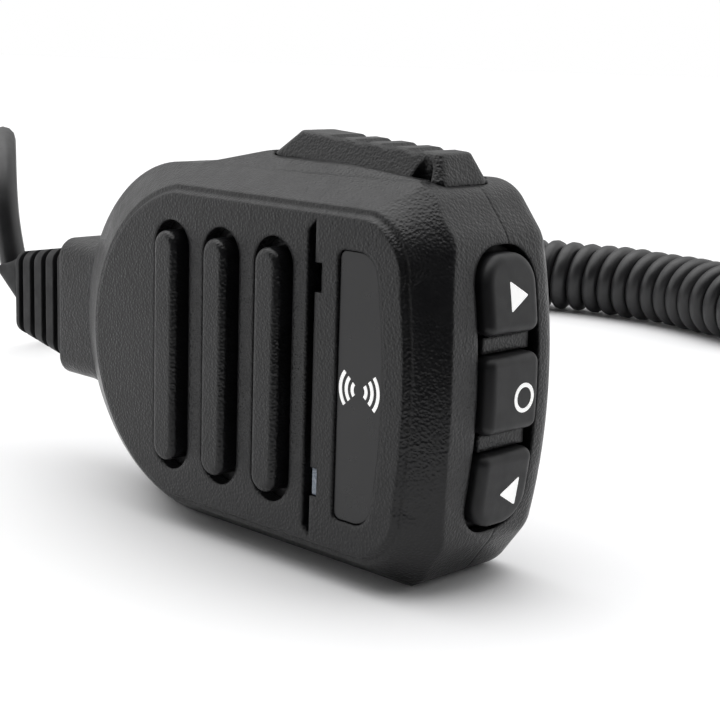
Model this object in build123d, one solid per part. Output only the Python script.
from build123d import *
import math
import os

# A two-way radio's hand microphone, standing on its long lower side, with its curly cord and plug.
#
# The microphone's pieces are drawn in the bench frame: X runs from the cord end to the key end,
# Y from the front face to the back cover and Z up to the talk bar, with zero at the first grille
# bar, the front face and the middle of the case. TO_ORIGIN then moves them so that the origin
# lies on the ground under the middle of the standing microphone. The cord's routes and the plug
# are given from that origin.

# ---- driving dimensions, millimetres ----
HALF_WIDTH = 30.5  # from the case's middle down to the side that it stands on
CASE_DEPTH = 29.0
PARTING_Y = 18.3  # where the front shell meets the rear shell
WALL = 2.2
FRONT_WALL = 2.6
PAD_HALF = 24.7  # half height of the raised front pad
SHOULDER_Y = 9.2  # depth at which the sloping shoulders reach the sides
END_X = 56.4  # middle of the bowed key end
END_CORNER = (53.7, 22.4)  # where the bowed end meets the cut corners
SIDE_CORNER_X = 47.6
CORNER_R = 6.5
BACK_R = 4.0

BAR_PITCH = 12.0
BAR_COUNT = 3
BAR_WIDTH = 5.3
BAR_PROUD = 1.9
BAR_GAP = 1.65
BAR_SLOT_LENGTH = 41.0

SOUND_SLOT_X = 32.2
SOUND_SLOT_WIDTH = 1.6
SOUND_SLOT_HALF = 24.0
NOTCH_Z = 15.4
NOTCH_HEIGHT = 4.4
NOTCH_WIDTH = 1.5

PLATE_LEFT = 37.8
PLATE_RIGHT = 46.9
PLATE_HALF = 20.0
PLATE_THICK = 0.6
PLATE_SINK = 0.35

KEY_BAY_Y = (9.9, 23.7)
KEY_BAY_HALF = 21.4
KEY_BAY_R = 5.8
KEY_PROUD = 1.5
KEY_TRAVEL = 0.8
KEY_GAP = 1.15
KEY_BACK_X = 52.9
RAIL_Z = (6.0, 8.4)  # lowest and highest edge of the rail between two keys
MAT_X = (49.15, 51.4)
KEY_BOARD_X = (44.0, 45.6)
SWITCH_TOP_X = 49.1
PLUNGER_TIP_X = 50.05
PLUNGER_R = 1.7

TALK_X = (11.6, 47.2)
TALK_Y = (10.6, 21.6)
TALK_TILT = 3.2  # degrees that the talk bar's top falls towards the keys
TALK_FOOT_Z = 30.35  # height of the bar's foot at its middle
TALK_RISE = 4.3
TALK_CLEARANCE = 0.35
TALK_PIVOT = (14.6, 25.6)
TALK_PIN_R = 1.0
TALK_PRESS = 3.6  # degrees
TALK_STEM_X = 37.5
TALK_STEM_Y = 19.7
TALK_SWITCH_Z = (15.9, 19.4)
TALK_PLUNGER_Z = (18.6, 21.35)

BOARD_Y = (15.0, 16.6)
CAPSULE_R = 4.85

BOOT_Y = 16.0
COLLAR_X = -44.0
COLLAR_HALF = 12.7
BOOT_ROOT_X = -44.2
BOOT_TIP_X = -63.1
CORD_Z = -0.75  # height of the cord's axis, level with the middle of the round cord end
WIRE_R = 2.6
CURL_R = 10.5

STUD_X = 8.0
STUD_TIP_Y = 35.5

PLUG_NECK_R = 7.4
PLUG_SHOULDER_R = 8.0
PLUG_INSERT_R = 6.0
PLUG_MOUTH = 37.0  # distance of the ring's mouth from the cord's end
RING_GAP = 0.06

MIDDLE = ((END_X + KEY_PROUD + BOOT_TIP_X) / 2, (STUD_TIP_Y - BAR_PROUD) / 2)
TO_ORIGIN = Pos(-MIDDLE[0], -MIDDLE[1], HALF_WIDTH)


# ---- helpers ----
def save(name, piece):
    """Write one node of the microphone, moved from the bench frame to the part's frame."""
    export_step(TO_ORIGIN * piece, "parts/" + name + ".step")


def save_placed(name, piece):
    """Write one node that is already drawn in the part's frame."""
    export_step(piece, "parts/" + name + ".step")


def upright(y):
    """The plane across the case at a depth, seen from the front."""
    return Plane(origin=(0, y, 0), x_dir=(1, 0, 0), z_dir=(0, -1, 0))


def slab(face, front, back):
    """A face seen from the front, made solid between two depths."""
    return extrude(upright(back) * face, amount=back - front)


def endwise(face, start, end):
    """A face seen from the key end (its own x along Y, y along Z), made solid from start to end."""
    at = Plane(origin=(start, 0, 0), x_dir=(0, 1, 0), z_dir=(1, 0, 0))
    return extrude(at * face, amount=end - start)


def block(x, y, z):
    """A box between pairs of coordinates."""
    centre = ((x[0] + x[1]) / 2, (y[0] + y[1]) / 2, (z[0] + z[1]) / 2)
    return Pos(*centre) * Box(x[1] - x[0], y[1] - y[0], z[1] - z[0])


def peg(x, z, radius, front, back):
    """A round piece along Y."""
    return slab(Pos(x, z) * Circle(radius), front, back)


def end_curve(z, at):
    """X of a line bowed like the key end, whose middle is at X = at."""
    return at - (END_X - END_CORNER[0]) * (z / END_CORNER[1]) ** 2


# ---- the outside of the case ----
def case_outline(inset=0.0):
    """The case seen from the front: round at the cord end, cut corners, a bowed key end."""
    low = (-4.5, -HALF_WIDTH)
    corner = (SIDE_CORNER_X, -HALF_WIDTH)
    end_low = (END_CORNER[0], -END_CORNER[1])
    end_high = END_CORNER
    top_corner = (SIDE_CORNER_X, 30.0)
    top = (-4.5, 29.0)
    edges = [
        Line(low, corner),
        Line(corner, end_low),
        ThreePointArc(end_low, (END_X, 0), end_high),
        Line(end_high, top_corner),
        Line(top_corner, top),
        ThreePointArc(top, (-34.3, -0.75), low),
    ]
    face = make_face(Curve() + edges)
    corners = [v for v in face.vertices() if v.X > SIDE_CORNER_X - 1]
    face = fillet(corners, CORNER_R)
    return offset(face, amount=-inset) if inset else face


def front_ring(half, end_x, end_corner, side_corner_x, bulge, cord_x, cord_join):
    """One outline of the sloping front, of six edges, so that two of them can be lofted."""
    end_low = (end_corner[0], -end_corner[1])
    side_low = (side_corner_x, -half)
    side_high = (side_corner_x, half)
    reach = (side_corner_x + end_corner[0]) / 2 + bulge
    rise = (half + end_corner[1]) / 2 + bulge
    edges = [
        Line((cord_join, -half), side_low),
        ThreePointArc(side_low, (reach, -rise), end_low),
        ThreePointArc(end_low, (end_x, 0), end_corner),
        ThreePointArc(end_corner, (reach, rise), side_high),
        Line(side_high, (cord_join, half)),
        ThreePointArc((cord_join, half), (cord_x, 0), (cord_join, -half)),
    ]
    return make_face(Curve() + edges)


def front_slopes(sink=0.0, shrink=0.0):
    """The raised pad and the shoulders round it, with everything behind them."""
    pad = front_ring(PAD_HALF - shrink, 51.2 - shrink, (50.0 - shrink, 15.6), 42.4, 1.8, -20.2 + shrink, 0)
    foot = front_ring(25.4 - shrink, 51.7 - shrink, (50.5 - shrink, 15.8), 42.8, 1.8, -21.0 + shrink, 0)
    root = front_ring(26.0 - shrink, 52.2 - shrink, (51.0 - shrink, 16.0), 43.2, 1.8, -21.8 + shrink, 0)
    side = front_ring(30.6 - shrink, 62.7 - shrink, (56.0 - shrink, 21.9), 47.6, 0.3, -35.0 + shrink, -4.5)
    bevel = loft([upright(sink) * pad, upright(sink + 1.0) * foot], ruled=True)
    slope = loft([upright(sink + 1.0) * root, upright(sink + SHOULDER_Y) * side], ruled=True)
    behind = slab(Rectangle(300, 200), sink + SHOULDER_Y, 60)
    return bevel + slope + behind


def talk_housing():
    """The swelling of the top side that carries the talk bar."""
    crown = [(-3.8, 28.5), (12, 32.3), (45.5, 30.1), (45.5, 24), (-3.8, 24)]
    side = make_face(Polyline(*crown, close=True))
    side = fillet([v for v in side.vertices() if abs(v.X - 12) < 1], 20)
    section = Polyline((6, 28.5), (12.8, 32.9), (19.5, 32.9), (25, 28), (25, 24), (6, 24), close=True)
    return slab(side, 6, 25) & endwise(make_face(section), -10, 50)


def neck():
    """The collar at the cord end, flowing out of the round end of the case."""
    round_end = Pos(-4.5, CORD_Z) * Circle(29.75)
    collar = Pos(COLLAR_X + 15, CORD_Z) * Rectangle(30, 2 * COLLAR_HALF)
    face = round_end + collar
    joints = [v for v in face.vertices() if -40 < v.X < -20]
    face = fillet(joints, 9)
    face = face & (Pos(-40, 0) * Rectangle(44, 60))
    body = slab(face, SHOULDER_Y, 23.0)
    return fillet(body.edges().filter_by(rim_of_neck), 3.5)


def rim_of_neck(edge):
    """True for the long front and back edges of the collar."""
    middle = edge.center()
    flat = abs(edge.position_at(0).Y - edge.position_at(1).Y) < 0.01
    return flat and middle.X < -19 and abs(middle.Z) > 1 and edge.length > 3


def case_outside():
    body = slab(case_outline(), 0, CASE_DEPTH)
    rim = body.faces().sort_by(Axis.Y)[-1].edges()
    return (fillet(rim, BACK_R) & front_slopes()) + talk_housing() + neck()


def case_inside():
    """The hollow inside both shells."""
    room = slab(case_outline(WALL), FRONT_WALL, CASE_DEPTH - WALL)
    room = room & front_slopes(sink=FRONT_WALL, shrink=1.2)
    return room + neck_hollow()


def neck_hollow():
    """The room inside the collar for the cord boot's flange."""
    return block((BOOT_ROOT_X + 3.2, -26), (BOOT_Y - 4.6, BOOT_Y + 4.6), (CORD_Z - 10.0, CORD_Z + 10.0))


# ---- openings and fittings of the case ----
def bar_slot():
    return SlotOverall(BAR_SLOT_LENGTH, BAR_WIDTH + 2 * BAR_GAP, rotation=90)


def bar_places():
    return [Pos(BAR_PITCH * i, 0) for i in range(BAR_COUNT)]


def sound_slot():
    """The thin slot beside the grille, with pointed ends and two wider windows."""
    half = SOUND_SLOT_WIDTH / 2
    long = SOUND_SLOT_HALF - 1.6
    strip = Polyline(
        (-half, -long),
        (half, -SOUND_SLOT_HALF),
        (half, SOUND_SLOT_HALF),
        (-half, long),
        close=True,
    )
    face = Pos(SOUND_SLOT_X, 0) * make_face(strip)
    for side in (-1, 1):
        window = Rectangle(NOTCH_WIDTH, NOTCH_HEIGHT)
        face = face + Pos(SOUND_SLOT_X + half + NOTCH_WIDTH / 2 - 0.1, side * NOTCH_Z) * window
    return face


def plate_face(margin=0.0):
    """The long plate beside the slot: a straight inner edge, an outer edge bowed like the key end."""
    top_x = end_curve(PLATE_HALF, PLATE_RIGHT)
    edges = [
        Line((top_x, PLATE_HALF), (PLATE_LEFT, PLATE_HALF)),
        Line((PLATE_LEFT, PLATE_HALF), (PLATE_LEFT, -PLATE_HALF)),
        Line((PLATE_LEFT, -PLATE_HALF), (top_x, -PLATE_HALF)),
        ThreePointArc((top_x, -PLATE_HALF), (PLATE_RIGHT, 0), (top_x, PLATE_HALF)),
    ]
    face = make_face(Curve() + edges)
    face = fillet([v for v in face.vertices() if v.X > PLATE_LEFT + 1], 3.6)
    face = fillet([v for v in face.vertices() if v.X < PLATE_LEFT + 0.1], 1.2)
    return offset(face, amount=margin) if margin else face


def key_bay():
    """The opening for the keys, in the key end's own plane."""
    centre = (KEY_BAY_Y[0] + KEY_BAY_Y[1]) / 2
    bay = RectangleRounded(KEY_BAY_Y[1] - KEY_BAY_Y[0], 2 * KEY_BAY_HALF, KEY_BAY_R)
    return Pos(centre, 0) * bay


def talk_plane(height=0.0):
    """The tilted plane of the talk bar's foot, its own x towards the keys, raised by a height."""
    middle_x = (TALK_X[0] + TALK_X[1]) / 2
    middle_y = (TALK_Y[0] + TALK_Y[1]) / 2
    tilt = math.radians(TALK_TILT)
    normal = (math.sin(tilt), 0, math.cos(tilt))
    origin = Vector(middle_x, middle_y, TALK_FOOT_Z) + Vector(*normal) * height
    return Plane(origin=origin, x_dir=(math.cos(tilt), 0, -math.sin(tilt)), z_dir=normal)


def talk_foot(margin=0.0):
    length = TALK_X[1] - TALK_X[0] + 2 * margin
    width = TALK_Y[1] - TALK_Y[0] + 2 * margin
    return RectangleRounded(length, width, 1.6 + margin)


CASE_SCREWS = [(-21, 13), (-21, -13), (40, -23.2)]
BOARD_POSTS = [(-13, -14), (-13, 14), (39.5, -13.5)]


def lug(front, back):
    """A support for the talk bar's pin, between two depths."""
    x, z = TALK_PIVOT
    return block((x - 3.4, x + 3.4), (front, back), (z - 3.2, z + 3.0))


# ---- the shells ----
def front_shell(outside, inside):
    keep = block((-80, 80), (-5, PARTING_Y), (-50, 50))
    shell = outside & keep
    hollow = inside
    for x, z in CASE_SCREWS:
        hollow = hollow - peg(x, z, 3.2, 0, PARTING_Y)
    for x, z in BOARD_POSTS:
        hollow = hollow - peg(x, z, 2.6, 0, BOARD_Y[0])
    hollow = hollow - lug(0, TALK_Y[0] - 0.5)
    for side in (-1, 1):
        hollow = hollow - block((41.6, KEY_BOARD_X[0]), (0, 14), (side * 17.5 - 1.5, side * 17.5 + 1.5))
    shell = shell - hollow
    for at in bar_places():
        shell = shell - slab(at * bar_slot(), -2, FRONT_WALL + 0.2)
    shell = shell - slab(sound_slot(), -2, FRONT_WALL + 3)
    shell = shell - slab(plate_face(0.15), -2, PLATE_SINK + PLATE_THICK)
    shell = shell - endwise(key_bay(), 49.2, 60)
    for side in (-1, 1):
        low, high = sorted((side * RAIL_Z[0], side * RAIL_Z[1]))
        shell = shell + block((52.4, 53.6), (KEY_BAY_Y[0] - 1.5, 22.2), (low, high))
        shell = shell + block((53.5, 55.3), (KEY_BAY_Y[0] + 2.0, 22.2), (low, high))
    shell = shell - extrude(talk_plane(6) * talk_foot(TALK_CLEARANCE), amount=-16)
    x, z = TALK_PIVOT
    shell = shell - peg(x, z, TALK_PIN_R, 7.4, 30)
    for x, z in CASE_SCREWS:
        shell = shell - peg(x, z, 1.1, 7.0, 30)
    for x, z in BOARD_POSTS:
        shell = shell - peg(x, z, 0.9, 9.0, 30)
    return shell - boot()


def rear_shell(outside, inside):
    keep = block((-80, 80), (PARTING_Y, 40), (-50, 50))
    shell = outside & keep
    hollow = inside
    for x, z in CASE_SCREWS:
        hollow = hollow - peg(x, z, 4.4, PARTING_Y, 40)
    hollow = hollow - lug(TALK_Y[1] + 0.5, 40)
    hollow = hollow - peg(STUD_X, 0, 6, 22, 40)
    shell = shell - hollow
    shell = shell - endwise(key_bay(), 49.2, 60)
    shell = shell - extrude(talk_plane(6) * talk_foot(TALK_CLEARANCE), amount=-16)
    x, z = TALK_PIVOT
    shell = shell - peg(x, z, TALK_PIN_R, 10, 24.2)
    for x, z in CASE_SCREWS:
        shell = shell - peg(x, z, 1.4, 10, 40) - peg(x, z, 2.9, CASE_DEPTH - 3.2, 40)
    shell = shell - peg(STUD_X, 0, 1.3, 10, 40)
    return shell - boot()


# ---- the front's fittings ----
def grille_insert():
    """Three proud bars on one plate that lies behind the front wall."""
    plate = slab(Pos(BAR_PITCH, 0) * RectangleRounded(39.6, 43.5, 8), FRONT_WALL + 0.2, FRONT_WALL + 1.6)
    for i in range(BAR_COUNT):
        for row in range(7):
            for side in (-1, 1):
                hole = peg(BAR_PITCH * i + side * 3.45, (row - 3) * 5.2, 0.45, FRONT_WALL, FRONT_WALL + 2)
                plate = plate - hole
    for at in bar_places():
        bar = slab(at * SlotOverall(BAR_SLOT_LENGTH - 2 * BAR_GAP, BAR_WIDTH, rotation=90), -BAR_PROUD, 4.0)
        bar = fillet(bar.faces().sort_by(Axis.Y)[0].edges(), 1.1)
        plate = plate + bar
    return plate


def dust_felt():
    return slab(Pos(BAR_PITCH, 0) * RectangleRounded(38, 42, 7), FRONT_WALL + 1.6, FRONT_WALL + 2.6)


def name_plate():
    plate = slab(plate_face(), PLATE_SINK, PLATE_SINK + PLATE_THICK)
    return fillet(plate.faces().sort_by(Axis.Y)[0].edges(), 0.15)


def status_lens():
    x = SOUND_SLOT_X + SOUND_SLOT_WIDTH / 2 + NOTCH_WIDTH / 2 - 0.1
    lens = block((x - 0.65, x + 0.7), (0.3, FRONT_WALL + 2.4), (-NOTCH_Z - 2.1, -NOTCH_Z + 2.1))
    return fillet(lens.faces().sort_by(Axis.Y)[0].edges(), 0.3)


def mic_capsule():
    return peg(SOUND_SLOT_X, 0, CAPSULE_R, FRONT_WALL + 3.2, FRONT_WALL + 8.2)


def capsule_boot():
    """The rubber cup that holds the capsule behind the slot."""
    cup = peg(SOUND_SLOT_X, 0, CAPSULE_R + 1.2, FRONT_WALL + 2.7, BOARD_Y[0])
    well = peg(SOUND_SLOT_X, 0, CAPSULE_R, FRONT_WALL + 3.2, FRONT_WALL + 8.2)
    way_in = peg(SOUND_SLOT_X, 0, 2.0, 0, FRONT_WALL + 4)
    return cup - well - way_in


# ---- the talk bar ----
def talk_button():
    foot = talk_plane(0.4) * talk_foot()
    ridge_length = TALK_X[1] - TALK_X[0] - 6.4
    ridge = talk_plane(TALK_RISE) * Pos(0.9, 0.1) * RectangleRounded(ridge_length, 7.6, 1.2)
    hood = loft([foot, ridge], ruled=True)
    hood = fillet(hood.faces().sort_by(Axis.Z)[-1].edges(), 0.9)
    skirt = extrude(talk_plane(-5.6) * talk_foot(), amount=6.0)
    bar = hood + skirt
    for i in range(4):
        along = (i - 1.5) * 5.4 + 2.6
        groove = talk_plane(TALK_RISE + 1.05) * Pos(along, 1.0) * Rot(90, 0, 0) * Cylinder(1.9, 9.2)
        bar = bar - groove
    scoop = talk_plane(1.2) * Pos(14.0, -5.6) * Cone(2.2, 1.5, 5.6)
    bar = bar - scoop
    x, z = TALK_PIVOT
    bar = bar + block((x - 2.6, x + 2.6), (TALK_Y[0], TALK_Y[1]), (z - 2.6, z + 2.5))
    bar = bar - block((x - 3.2, x + 3.4), (14.0, 18.2), (z - 4, z + 2.2))
    bar = bar - peg(x, z, TALK_PIN_R + 0.05, 0, 40)
    stem = block((TALK_STEM_X - 1.8, TALK_STEM_X + 1.8), (TALK_STEM_Y - 1.5, TALK_STEM_Y + 1.5), (21.55, 27))
    return bar + stem


def talk_pin():
    x, z = TALK_PIVOT
    return peg(x, z, TALK_PIN_R, 7.6, 24.0)


def talk_spring():
    """A wire spring wound round the pin, one leg under the bar and one on the board's edge."""
    x, z = TALK_PIVOT
    turns = 3.5
    pitch = 0.85
    path = Helix(pitch=pitch, height=turns * pitch, radius=1.75)
    start = path @ 0
    wire = Plane(origin=start, z_dir=path % 0) * Circle(0.3)
    coil = sweep(wire, path=path)
    return Pos(x, 14.6 + turns * pitch, z) * Rot(90, 0, 0) * coil


def switch_body(length, width, height):
    """A small push switch, its plunger's bore open at the top, standing along Z."""
    body = Pos(0, 0, height / 2) * Box(length, width, height)
    return body - Pos(0, 0, height / 2 + 1.0) * Cylinder(1.8, height)


def talk_switch():
    height = TALK_SWITCH_Z[1] - TALK_SWITCH_Z[0]
    return Pos(TALK_STEM_X, TALK_STEM_Y, TALK_SWITCH_Z[0]) * switch_body(6.0, 6.0, height)


def talk_plunger():
    height = TALK_PLUNGER_Z[1] - TALK_PLUNGER_Z[0]
    middle = (TALK_PLUNGER_Z[0] + TALK_PLUNGER_Z[1]) / 2
    return Pos(TALK_STEM_X, TALK_STEM_Y, middle) * Cylinder(PLUNGER_R, height)


# ---- the keys ----
KEY_SPANS = {
    "up": (RAIL_Z[1] + 0.25, KEY_BAY_HALF - KEY_GAP),
    "centre": (-RAIL_Z[0] + 0.25, RAIL_Z[0] - 0.25),
    "down": (-KEY_BAY_HALF + KEY_GAP, -RAIL_Z[1] - 0.25),
}


def key(low, high):
    """One rubbery key: its face bowed like the key end, its outer end round like the bay."""
    bay = offset(key_bay(), amount=-KEY_GAP)
    span = Pos((KEY_BAY_Y[0] + KEY_BAY_Y[1]) / 2, (low + high) / 2) * Rectangle(30, high - low)
    face = bay & span
    sharp = [v for v in face.vertices() if min(abs(v.Y - low), abs(v.Y - high)) < 0.01]
    sharp = [v for v in sharp if abs(v.Y) < RAIL_Z[1] + 1]
    face = fillet(sharp, 1.6)
    body = endwise(face, KEY_BACK_X, 62)
    bow = [
        Line((40, -30), (end_curve(30, END_X + KEY_PROUD), -30)),
        ThreePointArc(
            (end_curve(30, END_X + KEY_PROUD), -30),
            (END_X + KEY_PROUD, 0),
            (end_curve(30, END_X + KEY_PROUD), 30),
        ),
        Line((end_curve(30, END_X + KEY_PROUD), 30), (40, 30)),
        Line((40, 30), (40, -30)),
    ]
    body = body & slab(make_face(Curve() + bow), 0, 30)
    body = fillet(body.faces().sort_by(Axis.X)[-1].edges(), 1.5)
    middle_y = (KEY_BAY_Y[0] + KEY_BAY_Y[1]) / 2
    stem = endwise(Pos(middle_y, (low + high) / 2) * Circle(1.6), PLUNGER_TIP_X + 0.05, KEY_BACK_X + 0.5)
    return body + stem


def key_mat():
    """The soft mat behind the keys, resting on the switches, holed for the keys' stems."""
    middle_y = (KEY_BAY_Y[0] + KEY_BAY_Y[1]) / 2
    mat = endwise(offset(key_bay(), amount=-0.25), MAT_X[0], MAT_X[1])
    for low, high in KEY_SPANS.values():
        mat = mat - endwise(Pos(middle_y, (low + high) / 2) * Circle(2.3), 45, 60)
    return mat


def key_board():
    return block(KEY_BOARD_X, (9.6, 22.6), (-19.5, 19.5))


def key_switch(low, high):
    middle_y = (KEY_BAY_Y[0] + KEY_BAY_Y[1]) / 2
    body = switch_body(6.0, 6.0, SWITCH_TOP_X - KEY_BOARD_X[1])
    return Pos(KEY_BOARD_X[1], middle_y, (low + high) / 2) * Rot(0, 90, 0) * body


def key_plunger(low, high):
    middle_y = (KEY_BAY_Y[0] + KEY_BAY_Y[1]) / 2
    return endwise(Pos(middle_y, (low + high) / 2) * Circle(PLUNGER_R), 47.6, PLUNGER_TIP_X)


# ---- boards and fasteners ----
def main_board():
    board = slab(Pos(12.6, -0.3) * Rectangle(58.8, 38.6), BOARD_Y[0], BOARD_Y[1])
    for x, z in BOARD_POSTS:
        board = board - peg(x, z, 1.1, 10, 20)
    return board


def status_led():
    x = SOUND_SLOT_X + SOUND_SLOT_WIDTH / 2 + NOTCH_WIDTH / 2 - 0.1
    return peg(x, -NOTCH_Z, 1.5, BOARD_Y[0] - 5.2, BOARD_Y[0] - 0.8) + peg(
        x, -NOTCH_Z, 1.9, BOARD_Y[0] - 0.8, BOARD_Y[0]
    )


def wire_header():
    return block((-15.5, -11.5), (BOARD_Y[1], BOARD_Y[1] + 4.5), (-7.5, 7.5))


def screw(x, z, seat, head_r, head, shank_r, tip):
    """A cross-headed screw driven in from the back."""
    body = peg(x, z, head_r, seat, seat + head) + peg(x, z, shank_r, tip, seat)
    body = fillet(body.faces().sort_by(Axis.Y)[-1].edges(), head * 0.4)
    for turn in (0, 90):
        blade = Pos(x, z) * Rot(0, 0, turn) * Rectangle(head_r * 1.15, head_r * 0.26)
        body = body - slab(blade, seat + head * 0.4, seat + head + 1)
    return body


def case_screws():
    return [screw(x, z, CASE_DEPTH - 3.2, 2.5, 1.8, 1.1, 11.0) for x, z in CASE_SCREWS]


def board_screws():
    return [screw(x, z, BOARD_Y[1], 1.9, 1.3, 0.9, 10.5) for x, z in BOARD_POSTS]


def hanger_stud():
    """The round button on the back that drops into a hanger clip."""
    stud = peg(STUD_X, 0, 7.5, CASE_DEPTH, CASE_DEPTH + 1.2)
    stud = stud + peg(STUD_X, 0, 3.6, CASE_DEPTH + 1.2, STUD_TIP_Y - 2.2)
    head = peg(STUD_X, 0, 6.0, STUD_TIP_Y - 2.2, STUD_TIP_Y)
    head = fillet(head.faces().sort_by(Axis.Y)[-1].edges(), 0.9)
    return stud + head - peg(STUD_X, 0, 1.5, 20, 40) - peg(STUD_X, 0, 3.0, STUD_TIP_Y - 1.7, 40)


def stud_screw():
    return screw(STUD_X, 0, STUD_TIP_Y - 1.7, 2.6, 1.5, 1.3, 22.5)


# ---- cord ----
def boot_section(half_height, half_depth, radius):
    return Pos(BOOT_Y, CORD_Z) * RectangleRounded(2 * half_depth, 2 * half_height, radius)


def end_plane(x):
    return Plane(origin=(x, 0, 0), x_dir=(0, 1, 0), z_dir=(1, 0, 0))


def boot():
    """The moulded, grooved sleeve that takes the cord into the case."""
    tip = end_plane(BOOT_TIP_X) * boot_section(7.8, 4.1, 2.4)
    root = end_plane(BOOT_ROOT_X) * boot_section(10.9, 5.2, 2.6)
    sleeve = loft([tip, root], ruled=True)
    sleeve = fillet(sleeve.faces().sort_by(Axis.X)[0].edges(), 1.2)
    for i in range(4):
        x = BOOT_ROOT_X - 4.6 - 4.1 * i
        share = (x - BOOT_TIP_X) / (BOOT_ROOT_X - BOOT_TIP_X)
        core = boot_section(6.6 + 3.1 * share, 2.9 + 1.1 * share, 1.8)
        around = Pos(BOOT_Y, CORD_Z) * Rectangle(40, 40) - core
        sleeve = sleeve - endwise(around, x, x + 1.6)
    throat = endwise(boot_section(8.4, 3.4, 2.0), BOOT_ROOT_X - 0.1, BOOT_ROOT_X + 3.6)
    flange = endwise(boot_section(9.8, 4.4, 2.0), BOOT_ROOT_X + 3.2, BOOT_ROOT_X + 6.4)
    return sleeve + throat + flange


def core_wires():
    """The cord's six cores, from the boot to the header on the board."""
    wires = []
    for i in range(6):
        z = (i - 2.5) * 2.2
        points = [
            (BOOT_ROOT_X + 6.4, BOOT_Y, CORD_Z + z * 0.6),
            (-32, BOOT_Y, CORD_Z + z * 0.6),
            (-25, BOOT_Y + 3.0, z),
            (-15.5, BOOT_Y + 3.0, z),
        ]
        path = FilletPolyline(*points, radius=3.0)
        ring = Plane(origin=path @ 0, z_dir=path % 0) * Circle(0.6)
        wires.append(sweep(ring, path=path))
    return wires


def route_radii(points):
    """The largest arc that both runs at each corner allow."""
    radii = []
    for before, here, after in zip(points, points[1:], points[2:]):
        first = Vector(*here) - Vector(*before)
        second = Vector(*after) - Vector(*here)
        half_turn = math.radians(first.get_angle(second)) / 2
        radii.append(0.45 * min(first.length, second.length) / math.tan(half_turn))
    return radii


def tube(points, radius):
    """A tube along straight runs joined by tangent arcs."""
    radii = route_radii(points)
    path = FilletPolyline(*points, radius=radii)
    ring = Plane(origin=path @ 0, z_dir=path % 0) * Circle(radius)
    body = sweep(ring, path=path)
    share = body.volume / (math.pi * radius**2 * path.length)
    print("  length", round(path.length), "volume share", round(share, 4))
    print("  radii", [round(r) for r in radii])
    return body


# The routes are points of the part's own frame, in millimetres, with the ground at zero.
LEAD_ROUTE = [
    (-66.5, -0.8, 34.2),
    (-68.7, -0.8, 40.3),
    (-71.3, 0.2, 48.4),
    (-77.2, 4, 55.2),
    (-86.7, 10.2, 57.8),
    (-98.1, 17.6, 54.8),
    (-109.6, 25, 46),
    (-121.1, 32.5, 34.3),
    (-130.9, 41, 22),
    (-138.9, 51.8, 11.2),
    (-141, 63.6, 4.8),
    (-143.2, 76, 2.65),
    (-145.7, 88, 2.65),
]
CURL_ROUTE = [
    (-145.7, 88, 10.55),
    (-151.45, 115.6, 10.55),
    (-151.4, 143.6, 10.55),
    (-143.3, 170.4, 10.55),
    (-127.2, 193.3, 10.55),
    (-104.8, 210.2, 10.55),
    (-78.2, 218.9, 10.55),
    (-50.2, 217.9, 10.55),
    (-23.9, 208.3, 10.55),
    (-10.2, 205.4, 10.55),
]
TAIL_ROUTE = [
    (-10.2, 205.4, 2.65),
    (3.5, 202.5, 2.65),
    (19, 195.8, 2.65),
    (32.5, 186, 3.1),
    (42.5, 174.5, 5.8),
    (48, 161, 9.6),
    (48, 147.5, 9.6),
]


def cord_sleeve():
    """The cord's own sleeve, which leaves the boot's tip and turns the cord upwards."""
    tip = Vector(*LEAD_ROUTE[0])
    way = Vector(*LEAD_ROUTE[1]) - tip
    root = Plane(origin=(-60.5, -0.8, 31.9), x_dir=(0, 1, 0), z_dir=(-1, 0, 0))
    mouth = Plane(origin=tip, x_dir=(0, 1, 0), z_dir=(way.X, way.Y, way.Z))
    sections = [root * RectangleRounded(7.2, 11, 3.2), mouth * RectangleRounded(6.8, 7.2, 3.2)]
    return loft(sections, ruled=True)


def cord_lead():
    """The plain length that arches up out of the sleeve and down to the ground behind."""
    return tube(LEAD_ROUTE, WIRE_R)


def curly_cord():
    """The outside of the curled length, as one thick tube."""
    return tube(CURL_ROUTE, CURL_R)


def cord_tail():
    """The straight length between the curls and the plug."""
    return tube(TAIL_ROUTE, WIRE_R)


# ---- the plug, lying on the ground, its mouth towards -Y ----
def along_plug(face, start, end):
    """A face made solid along the plug's axis, between two distances from the cord's end."""
    x, y, z = TAIL_ROUTE[-1]
    at = Plane(origin=(x, y - start, z), x_dir=(1, 0, 0), z_dir=(0, -1, 0))
    return extrude(at * face, amount=end - start)


def plug_boot():
    """The rubber sleeve that guards the cord where it enters the plug."""
    x, y, z = TAIL_ROUTE[-1]
    narrow = Plane(origin=(x, y, z), x_dir=(1, 0, 0), z_dir=(0, -1, 0)) * Circle(3.4)
    wide = Plane(origin=(x, y - 11, z), x_dir=(1, 0, 0), z_dir=(0, -1, 0)) * Circle(6.1)
    sleeve = loft([narrow, wide], ruled=True)
    for i in range(3):
        sleeve = sleeve - along_plug(Circle(9) - Circle(3.7 + 0.6 * i), 2.6 + 2.6 * i, 3.7 + 2.6 * i)
    return sleeve


def plug_shell():
    """The metal barrel, with the shoulder that draws the ring up and a hollow for the insert."""
    barrel = along_plug(Circle(7.6), 11, 23.6)
    barrel = chamfer(barrel.faces().sort_by(Axis.Y)[-1].edges(), 0.8)
    barrel = barrel + along_plug(Circle(PLUG_NECK_R), 23.6, 28) + along_plug(Circle(PLUG_SHOULDER_R), 28, 30)
    return barrel - along_plug(Circle(PLUG_INSERT_R), 14, 40)


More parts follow.
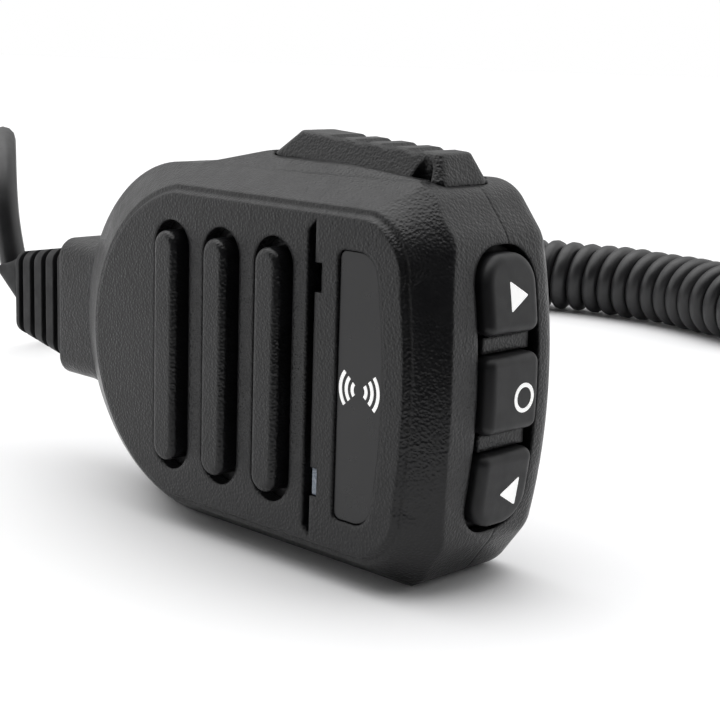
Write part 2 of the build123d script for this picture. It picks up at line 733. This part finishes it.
def plug_ring():
    """The ribbed coupling ring, free to turn round the barrel's neck."""
    ring = along_plug(Circle(9.5), 24, PLUG_MOUTH)
    ring = chamfer(ring.edges().filter_by(GeomType.CIRCLE), 0.7)
    for i in range(24):
        rib_gap = Rot(0, 0, 15 * i) * Pos(9.6, 0) * Circle(0.45)
        ring = ring - along_plug(rib_gap, 25.5, PLUG_MOUTH - 4)
    ring = ring - along_plug(Circle(PLUG_NECK_R + RING_GAP), 20, 28)
    return ring - along_plug(Circle(PLUG_SHOULDER_R + RING_GAP), 27.95, 40)


def contact_places():
    return [Rot(0, 0, 60 * i) * Pos(3.5, 0) for i in range(6)]


def plug_insert():
    """The insulating block that holds the contacts, with a key slot at its top."""
    block_face = Circle(PLUG_INSERT_R - 0.03) - Pos(0, PLUG_INSERT_R) * Rectangle(1.6, 2.0)
    for at in contact_places():
        block_face = block_face - at * Circle(0.95)
    return along_plug(block_face, 22, 33.5)


def plug_contacts():
    """Six contact tubes in the insert."""
    tubes = []
    for at in contact_places():
        tubes.append(along_plug(at * (Circle(0.92) - Circle(0.55)), 21, 33.2))
    return tubes


os.makedirs("parts", exist_ok=True)
outside = case_outside()
inside = case_inside()
save("front_shell", front_shell(outside, inside))
save("rear_shell", rear_shell(outside, inside))
for piece in (
    grille_insert,
    dust_felt,
    name_plate,
    status_lens,
    mic_capsule,
    capsule_boot,
    talk_button,
    talk_pin,
    talk_spring,
    talk_switch,
    talk_plunger,
    key_mat,
    key_board,
    main_board,
    status_led,
    wire_header,
    hanger_stud,
    stud_screw,
):
    save(piece.__name__, piece())
for name, (low, high) in KEY_SPANS.items():
    save("key_" + name, key(low, high))
    save("plunger_" + name, key_plunger(low, high))
save("key_switches", Compound([key_switch(low, high) for low, high in KEY_SPANS.values()]))
save("case_screws", Compound(case_screws()))
save("board_screws", Compound(board_screws()))
save("cord_boot", boot())
save("core_wires", Compound(core_wires()))
for piece in (cord_sleeve, cord_lead, curly_cord, cord_tail, plug_boot, plug_shell, plug_ring, plug_insert):
    save_placed(piece.__name__, piece())
save_placed("plug_contacts", Compound(plug_contacts()))
